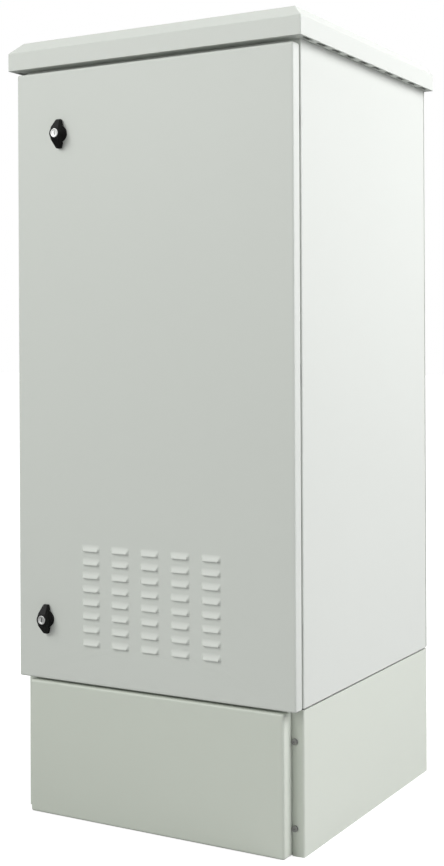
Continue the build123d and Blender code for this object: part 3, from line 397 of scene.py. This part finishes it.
def build_door(form):
    """The door's outer skin: face, rounded folds, sides and the returns with hinge notches."""
    stations = [height + side * HINGE_NOTCH for height in HINGE_HEIGHTS for side in (-1, 1)]
    # The stations follow the first corner's points, and each pair of them bounds a notch.
    notched = [CORNER_STEPS + 1 + 2 * number for number in range(len(HINGE_HEIGHTS))]

    def outline(inset, radius):
        half, low, high = SIDE - inset, DOOR_LOW + inset, DOOR_HIGH - inset
        return rounded_outline(half, low, high, radius, right_stations=stations)

    loops = tray_front(form, outline, DOOR_FACE, DOOR_RADIUS, DOOR_FOLD_STEPS)
    loops.append(ring(form, outline(0, DOOR_RADIUS), DOOR_BACK - DOOR_SHEET))
    for step in range(1, RETURN_STEPS + 1):
        angle = math.radians(90 * step / RETURN_STEPS)
        inset = DOOR_SHEET * (1 - math.cos(angle))
        y = DOOR_BACK - DOOR_SHEET + DOOR_SHEET * math.sin(angle)
        loops.append(ring(form, outline(inset, DOOR_RADIUS), y))
    loft(form, loops)
    bridge(form, loops[-1], ring(form, outline(DOOR_RETURN, 1.0), DOOR_BACK), notched)

    edges = closed_edges(form, loops[0])
    for column in range(LOUVRE_COLUMNS):
        for row in range(LOUVRE_ROWS):
            x = (column - (LOUVRE_COLUMNS - 1) / 2) * LOUVRE_PITCH_X
            z = LOUVRE_TOP - LOUVRE_HEIGHT - row * LOUVRE_PITCH_Z
            edges += louvre(form, x, z)
    for centre in LOCKS.values():
        edges += closed_edges(form, circle(form, centre, LOCK_HOLE, DOOR_FACE, LOCK_HOLE_SEGMENTS))
    fill_front(form, edges)


# Plinth cover
COVER_HALF, COVER_PLAY = 275.0, 1.3
COVER_LOW, COVER_HIGH = 0.5, 255.5
COVER_FACE, COVER_BACK = -326.0, -290.5
COVER_SHEET = 2.0
COVER_RADIUS = 4.5
COVER_FOLD_STEPS = 8
FLANGE_END, FLANGE_NOTCH = 294.5, 279.0
SCREW_HEIGHTS = (49.0, 202.0)
NOTCH_HALF = 3.3


def build_cover(form):
    """The cover's outer skin: face, rounded folds and returns, to one side within its play."""
    def outline(inset, radius):
        half, low, high = COVER_HALF - inset, COVER_LOW + inset, COVER_HIGH - inset
        return [(x + COVER_PLAY, z) for x, z in rounded_outline(half, low, high, radius)]

    loops = tray_front(form, outline, COVER_FACE, COVER_RADIUS, COVER_FOLD_STEPS)
    loops.append(ring(form, outline(0, COVER_RADIUS), COVER_BACK))
    loft(form, loops)
    form.faces.new(loops[0])


def build_flanges(form):
    """The cover's two side flanges behind the strips, notched for the strips' screws."""
    y = (COVER_BACK - COVER_SHEET, COVER_BACK)
    notches = [height + side * NOTCH_HALF for height in SCREW_HEIGHTS for side in (-1, 1)]
    ends = [COVER_LOW, *notches, COVER_HIGH]
    for side in (-1, 1):
        root = sorted((side * (COVER_HALF - COVER_SHEET), side * FLANGE_NOTCH))
        tab = sorted((side * FLANGE_NOTCH, side * FLANGE_END))
        block(form, root, y, (COVER_LOW, COVER_HIGH))
        for low, high in zip(ends[::2], ends[1::2]):
            block(form, tab, y, (low, high))


def cover_flanges():
    """The flanges are a piece of their own, in the middle of the opening, unlike the skin."""
    mesh = mesh_from("plinth_cover_flanges", build_flanges, 30)
    link(mesh, PLINTH_PAINT, "cabinet")


# Knobs
KNOB_FACE, KNOB_BACK = -345.0, -329.3
KNOB_BOSS = 11.8
WING_REACH = 28.0
WING_TIP = 10.0
WING_FRONT = -332.0
WING_EDGE = 1.2
WING_DOOR_GAP = 1.0
WING_STATIONS = (28.0, 27.7, 26.9, 25.0, 22.0, 19.0, 16.7, 16.5, 15.0, 13.0, 11.8, 9.0, 6.0, 3.0)
RECESS = 16.6
PLUG_BORE = 8.6
PLUG_DEPTH = 12.0
SHAFT_RADIUS = 5.0
SHAFT_SQUARE = 3.5
BOSS_SEGMENTS, SHAFT_SEGMENTS = 48, 32
CAM_FRONT, CAM_BACK = -292.7, -289.7
MELT_SIZE = 0.4


def wing_sections():
    """The wings' cross-sections from tip to tip as (z, half width, front y, back y)."""
    shoulder = KNOB_FACE + WING_EDGE
    slope = (WING_FRONT - shoulder) / (WING_REACH - KNOB_BOSS)
    for z in [*(-z for z in WING_STATIONS), 0.0, *reversed(WING_STATIONS)]:
        along = abs(z)
        half = KNOB_BOSS + (WING_TIP / 2 - KNOB_BOSS) * along / WING_REACH
        front = shoulder + slope * max(0.0, along - KNOB_BOSS)
        pulled = max(0.0, along - (WING_REACH - WING_EDGE)) / WING_EDGE
        end = WING_EDGE * (1 - math.sqrt(1 - pulled**2))
        back = KNOB_BACK if along < RECESS else DOOR_FACE - WING_DOOR_GAP
        yield z, half - end, front + end, back - end


def build_wings(form):
    """Two wings with rounded edges in one loft, stepped back past the lock's base."""
    loops = []
    for z, half, front, back in wing_sections():
        centre_x, centre_y = half - WING_EDGE, front + WING_EDGE
        loop = [(half, back), (half, centre_y)]
        for turn in (30, 60, 90):
            angle = math.radians(turn)
            x = centre_x + WING_EDGE * math.cos(angle)
            loop.append((x, centre_y - WING_EDGE * math.sin(angle)))
        loop += [(-x, y) for x, y in reversed(loop)]
        loops.append([form.verts.new((x, y, z)) for x, y in loop])
    loft(form, loops)
    form.faces.new(loops[0])
    form.faces.new(loops[-1])


def build_casting(form):
    """The boss with its skirt and bore, the shaft and the square end for the cam."""
    bore_end = KNOB_FACE + PLUG_DEPTH
    skirt = [
        (0, KNOB_BACK), (14.0, KNOB_BACK), (14.5, KNOB_BACK - 0.6), (14.3, KNOB_BACK - 2.6),
        (13.2, KNOB_BACK - 3.5), (12.2, KNOB_BACK - 4.4), (11.9, KNOB_BACK - 6),
    ]
    boss = [
        (KNOB_BOSS, KNOB_FACE + 1.3), (11.4, KNOB_FACE + 0.4), (10.6, KNOB_FACE),
        (PLUG_BORE, KNOB_FACE), (PLUG_BORE, bore_end), (0, bore_end),
    ]
    shaft = [(0, KNOB_BACK), (SHAFT_RADIUS, KNOB_BACK), (SHAFT_RADIUS, CAM_FRONT), (0, CAM_FRONT)]
    lathe(form, skirt + boss, (0, 0), BOSS_SEGMENTS)
    lathe(form, shaft, (0, 0), SHAFT_SEGMENTS)
    across = (-SHAFT_SQUARE, SHAFT_SQUARE)
    block(form, across, (CAM_FRONT - 1, CAM_BACK), across)


def knob(name):
    """The die-cast knob: boss, skirt, two wings and shaft, melted into one casting."""
    x, z = LOCKS[name]
    form = bmesh.new()
    build_wings(form)
    build_casting(form)
    bmesh.ops.recalc_face_normals(form, faces=form.faces)
    bmesh.ops.translate(form, vec=(x, 0, z), verts=form.verts)
    bmesh.ops.scale(form, vec=(MM, MM, MM), verts=form.verts)
    mesh = to_mesh(name + "_knob_casting", form)
    piece = link(mesh, BLACK, name + "_latch", [name + "_knob"])
    melt = piece.modifiers.new("melt", "REMESH")
    melt.mode = "VOXEL"
    melt.voxel_size = MELT_SIZE * MM
    soften = piece.modifiers.new("soften", "SMOOTH")
    soften.factor = 0.5
    soften.iterations = 3
    settle(piece)
    smooth(piece.data, 60)


# Key cylinders
PLUG_SEGMENTS = 64
PLUG_DISH = 1.0
KEYHOLE_HALF_WIDTH, KEYHOLE_HALF_HEIGHT, KEYHOLE_END = 0.9, 3.9, 7.0
# The plug's side, rim and dish, as (radius, depth behind the knob's face).
PLUG_PROFILE = (
    (8.5, PLUG_DEPTH - 0.3), (8.5, 0.5), (8.2, 0.12), (7.8, 0.0),
    (6.4, 0.0), (6.1, 0.15), (5.8, 0.9), (5.6, PLUG_DISH),
)


def key_plug(name):
    """The lock cylinder's face, with a rim, a shallow dish and a keyhole cut into it."""
    centre = LOCKS[name]

    def build(form):
        loops = [circle(form, centre, r, KNOB_FACE + y, PLUG_SEGMENTS) for r, y in PLUG_PROFILE]
        loft(form, loops)
        form.faces.new(loops[0])
        corners = ((-1, -1), (1, -1), (1, 1), (-1, 1))
        slot = [
            (centre[0] + a * KEYHOLE_HALF_WIDTH, centre[1] + b * KEYHOLE_HALF_HEIGHT)
            for a, b in corners
        ]
        mouth = ring(form, slot, KNOB_FACE + PLUG_DISH)
        deep = ring(form, slot, KNOB_FACE + KEYHOLE_END)
        bridge(form, mouth, deep)
        form.faces.new(deep)
        fill_front(form, closed_edges(form, loops[-1]) + closed_edges(form, mouth))

    mesh = mesh_from(name + "_key_cylinder", build, 40)
    link(mesh, CHROME, name + "_key", [name + "_key_plug"])


# Lock bases
BASE_FRONT = DOOR_FACE - 4.0
BASE_BORE, BASE_RADIUS = 5.05, 16.0
BARREL_RADIUS, BARREL_ROOT, BARREL_END_RADIUS = 9.9, 9.25, 9.3
BARREL_END = DOOR_FACE + 23
THREAD_START, THREAD_END, THREAD_PITCH = DOOR_FACE + 2.4, DOOR_FACE + 22, 1.0
BASE_SEGMENTS = 56


def lock_base(name):
    """The lock's round base against the door, with a rolled rim, and its threaded barrel behind."""
    profile = [(BASE_BORE, BASE_FRONT), (13.6, BASE_FRONT), (14.6, BASE_FRONT + 0.3)]
    profile += [(15.6, BASE_FRONT + 1.2), (BASE_RADIUS, BASE_FRONT + 2.4), (BASE_RADIUS, DOOR_FACE)]
    profile += [(BARREL_RADIUS, DOOR_FACE), (BARREL_RADIUS, DOOR_FACE + 2)]
    y = THREAD_START
    while y < THREAD_END:
        profile += [(BARREL_RADIUS, y), (BARREL_ROOT, y + THREAD_PITCH / 2)]
        y += THREAD_PITCH
        profile.append((BARREL_RADIUS, y))
    profile += [(BARREL_END_RADIUS, BARREL_END), (BASE_BORE, BARREL_END), (BASE_BORE, BASE_FRONT)]

    def build(form):
        lathe(form, profile, LOCKS[name], BASE_SEGMENTS)

    mesh = mesh_from(name + "_lock_base", build, 30)
    link(mesh, BLACK, "door", [name + "_lock_housing"])


# Door seal
OPENING_SIDE, OPENING_LOW, OPENING_HIGH = 254.0, 306.0, 1384.0
SEAL_REACH, SEAL_WIDTH = 6.0, 10.0
SEAL_CROWN = -312.3
SEAL_CORNER, SEAL_INNER_CORNER = 12.0, 1.5


def build_gasket(form):
    """The foam seal: a soft round-shouldered bead round the opening, joined at its corners."""
    half, low, high = OPENING_SIDE + SEAL_REACH, OPENING_LOW - SEAL_REACH, OPENING_HIGH + SEAL_REACH
    flank = [(0.0, DOOR_FACE + DOOR_SHEET), (0.0, SEAL_CROWN - 3.5), (0.5, SEAL_CROWN - 1.6)]
    flank += [(1.8, SEAL_CROWN - 0.4), (3.6, SEAL_CROWN)]
    section = [*flank, (SEAL_WIDTH / 2, SEAL_CROWN)]
    section += [(SEAL_WIDTH - inset, y) for inset, y in reversed(flank)]
    loops = []
    for inset, y in section:
        corner = max(SEAL_CORNER - inset, SEAL_INNER_CORNER)
        outline = rounded_outline(half - inset, low + inset, high - inset, corner)
        loops.append(ring(form, outline, y))
    loft(form, loops + loops[:1])


def gasket():
    """The bead as one soft piece on the door's inside."""
    mesh = mesh_from("door_seal_bead", build_gasket, 50)
    link(mesh, RUBBER, "door", ["door_gasket"])


# Filter mat
FLEECE_INSET = 0.2
FLEECE_GRID = (60, 48)
# The edge band's share of the mat's width, and the share of the thickness left at the edge.
FLEECE_BAND, FLEECE_EDGE = 1 / 12, 0.4
FLEECE_WAVE = 0.1


def fleece_thickness(u, v, x, z):
    """The share of the full thickness: thinner at the edges, and slightly wavy all over."""
    edge = min(1.0, min(u, 1 - u, v, 1 - v) / FLEECE_BAND)
    swell = edge * (1 - FLEECE_EDGE) + FLEECE_EDGE
    across = math.sin(x * 310 + 2.1 * math.sin(z * 170))
    along = math.sin(z * 260 + x * 90)
    wave = 0.5 + 0.25 * across + 0.25 * along
    return swell * (1 - FLEECE_WAVE + FLEECE_WAVE * wave)


def fleece_pad():
    """The filter mat: a thick fleece pad whose face is uneven between the holder's bars."""
    low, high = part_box("filter_mat")
    inset = FLEECE_INSET * MM
    wide, thick, tall = (end - start - 2 * inset for start, end in zip(low, high))
    form = bmesh.new()
    bmesh.ops.create_grid(form, x_segments=FLEECE_GRID[0], y_segments=FLEECE_GRID[1], size=0.5)
    for vertex in form.verts:
        u, v = vertex.co.x + 0.5, vertex.co.y + 0.5
        x = low.x + inset + u * wide
        z = low.z + inset + v * tall
        vertex.co = (x, low.y + inset + thick * fleece_thickness(u, v, x, z), z)
    copied = bmesh.ops.duplicate(form, geom=form.faces[:] + form.verts[:] + form.edges[:])["geom"]
    for vertex in copied:
        if isinstance(vertex, bmesh.types.BMVert):
            vertex.co.y = low.y + inset
    bmesh.ops.bridge_loops(form, edges=[edge for edge in form.edges if edge.is_boundary])
    bmesh.ops.recalc_face_normals(form, faces=form.faces)
    mesh = to_mesh("filter_fleece_pad", form)
    smooth(mesh, 60)
    piece = link(mesh, FLEECE, "door", ["filter_mat"])


dress_cad_nodes()
tray("door_skin", build_door, PAINT, "door", DOOR_SHEET, "door_panel")
tray("plinth_cover_skin", build_cover, PLINTH_PAINT, "cabinet", COVER_SHEET, "plinth_front_cover")
cover_flanges()
gasket()
fleece_pad()
for lock in LOCKS:
    knob(lock)
    key_plug(lock)
    lock_base(lock)


# Lights
KEY_COLOUR = (1.02, 1.0, 1.04)
WHITE = (1.0, 1.0, 1.0)
# Each light's name, place, target, size, power in watts and colour.
LIGHTS = (
    ("key", (3.2, 1.0, 2.2), (0.3, 0, 0.8), (2.4, 3.6), 94, KEY_COLOUR),
    ("key_far", (6.0, 2.0, 5.0), (0.3, 0, 0.8), (4.5, 4.5), 405, KEY_COLOUR),
    ("left_high", (-4.5, -6.5, 7.0), (0, -0.3, 0.8), (5.0, 5.0), 420, WHITE),
    ("fill", (-1.4, -3.6, 2.4), (0, 0, 0.8), (2.4, 2.0), 48, WHITE),
    ("front_low", (0.5, -5.0, 0.9), (0, 0, 0.8), (3.0, 2.0), 48, WHITE),
    ("top", (0.0, 0.0, 4.4), (0, 0, 1.2), (2.5, 2.5), 28, WHITE),
)


def area_light(name, place, target, size, power, colour):
    """A rectangular light at a place, turned to a target."""
    lamp = bpy.data.lights.new(name, "AREA")
    lamp.shape = "RECTANGLE"
    lamp.size, lamp.size_y = size
    lamp.energy = power
    lamp.color = colour
    holder = bpy.data.objects.new(name, lamp)
    bpy.context.scene.collection.objects.link(holder)
    holder.location = place
    holder.rotation_euler = (Vector(target) - Vector(place)).to_track_quat("-Z", "Y").to_euler()


# World and floor
WORLD_LIGHT = 0.0
FLOOR_REACH = 40.0
FLOOR_GREY = 0.35
FLOOR_ROUGHNESS = 0.9
# How brightly the floor is seen: less within the first distance, and plain white past the second.
FADE_START, FADE_END = 0.45, 1.6
SHADE_NEAR, SHADE_FAR = 0.8, 1.0


def seen_directly(nodes, links, others=()):
    """1 for camera rays and the other kinds named, and 0 for light."""
    path = nodes.new("ShaderNodeLightPath")
    highest = path.outputs["Is Camera Ray"]
    for name in others:
        either = nodes.new("ShaderNodeMath")
        either.operation = "MAXIMUM"
        links.new(highest, either.inputs[0])
        links.new(path.outputs[name], either.inputs[1])
        highest = either.outputs[0]
    return highest


def world():
    """A world that is white to look at and in reflections, and gives no light of its own."""
    made = bpy.data.worlds.new("studio")
    bpy.context.scene.world = made
    made.use_nodes = True
    nodes, links = made.node_tree.nodes, made.node_tree.links
    nodes.clear()
    light, white = (nodes.new("ShaderNodeBackground") for _ in range(2))
    for shader, strength in ((light, WORLD_LIGHT), (white, 1.0)):
        shader.inputs["Color"].default_value = (1, 1, 1, 1)
        shader.inputs["Strength"].default_value = strength
    mix = nodes.new("ShaderNodeMixShader")
    seen = seen_directly(nodes, links, ("Is Glossy Ray", "Is Transmission Ray"))
    links.new(seen, mix.inputs["Fac"])
    links.new(light.outputs[0], mix.inputs[1])
    links.new(white.outputs[0], mix.inputs[2])
    links.new(mix.outputs[0], nodes.new("ShaderNodeOutputWorld").inputs["Surface"])


def floor_material():
    """Pale grey to light, and for camera rays a glow that turns to plain white further out."""
    made = bpy.data.materials.new("floor")
    made.use_nodes = True
    nodes, links = made.node_tree.nodes, made.node_tree.links
    shader = nodes["Principled BSDF"]
    shader.inputs["Base Color"].default_value = (FLOOR_GREY, FLOOR_GREY, FLOOR_GREY, 1)
    shader.inputs["Roughness"].default_value = FLOOR_ROUGHNESS
    glow = nodes.new("ShaderNodeEmission")
    place = nodes.new("ShaderNodeTexCoord")
    distance = nodes.new("ShaderNodeVectorMath")
    distance.operation = "LENGTH"
    links.new(place.outputs["Object"], distance.inputs[0])
    fade = nodes.new("ShaderNodeMapRange")
    fade.inputs["From Min"].default_value = FADE_START
    fade.inputs["From Max"].default_value = FADE_END
    fade.inputs["To Min"].default_value = SHADE_NEAR
    fade.inputs["To Max"].default_value = SHADE_FAR
    links.new(distance.outputs["Value"], fade.inputs["Value"])
    seen = nodes.new("ShaderNodeMath")
    seen.operation = "MULTIPLY"
    links.new(fade.outputs[0], seen.inputs[0])
    links.new(seen_directly(nodes, links), seen.inputs[1])
    links.new(seen.outputs[0], glow.inputs["Strength"])
    both = nodes.new("ShaderNodeAddShader")
    links.new(shader.outputs[0], both.inputs[0])
    links.new(glow.outputs[0], both.inputs[1])
    links.new(both.outputs[0], nodes["Material Output"].inputs["Surface"])
    return made


def floor():
    """A pale floor that keeps the cabinet's shadow."""
    mesh = bpy.data.meshes.new("floor")
    corners = [(-1, -1), (1, -1), (1, 1), (-1, 1)]
    mesh.from_pydata([(a * FLOOR_REACH, b * FLOOR_REACH, 0) for a, b in corners], [], [(0, 1, 2, 3)])
    mesh.materials.append(floor_material())
    plane = bpy.data.objects.new("floor", mesh)
    bpy.context.scene.collection.objects.link(plane)


# Camera
PHOTO_WIDTH, PHOTO_HEIGHT = 444, 866
CAMERA_PLACE = (1.38816, -2.50977, 0.89404)
CAMERA_YAW, CAMERA_PITCH, CAMERA_ROLL = -30.0716, 0.0468, -0.2663
FOCAL_PIXELS = 1403.81
CENTRE_X, CENTRE_Y = 206.31, 347.60
SENSOR = 36.0


def camera():
    """The photograph's viewpoint, fitted to the cabinet's straight edges."""
    yaw, pitch, roll = (math.radians(a) for a in (CAMERA_YAW, CAMERA_PITCH, CAMERA_ROLL))
    across = math.cos(pitch)
    ahead = Vector((math.sin(yaw) * across, math.cos(yaw) * across, math.sin(pitch)))
    level = Vector((math.cos(yaw), -math.sin(yaw), 0))
    upright = level.cross(ahead)
    right = level * math.cos(roll) + upright * math.sin(roll)
    up = upright * math.cos(roll) - level * math.sin(roll)
    lens = bpy.data.cameras.new("camera")
    lens.sensor_width = SENSOR
    lens.lens = FOCAL_PIXELS * SENSOR / PHOTO_HEIGHT
    lens.shift_x = (PHOTO_WIDTH / 2 - CENTRE_X) / PHOTO_HEIGHT
    lens.shift_y = (CENTRE_Y - PHOTO_HEIGHT / 2) / PHOTO_HEIGHT
    holder = bpy.data.objects.new("camera", lens)
    bpy.context.scene.collection.objects.link(holder)
    turn = Matrix((right, up, -ahead)).transposed().to_4x4()
    holder.matrix_world = Matrix.Translation(CAMERA_PLACE) @ turn
    bpy.context.scene.camera = holder


world()
floor()
for light in LIGHTS:
    area_light(*light)
camera()
bpy.context.scene.view_settings.view_transform = "Standard"
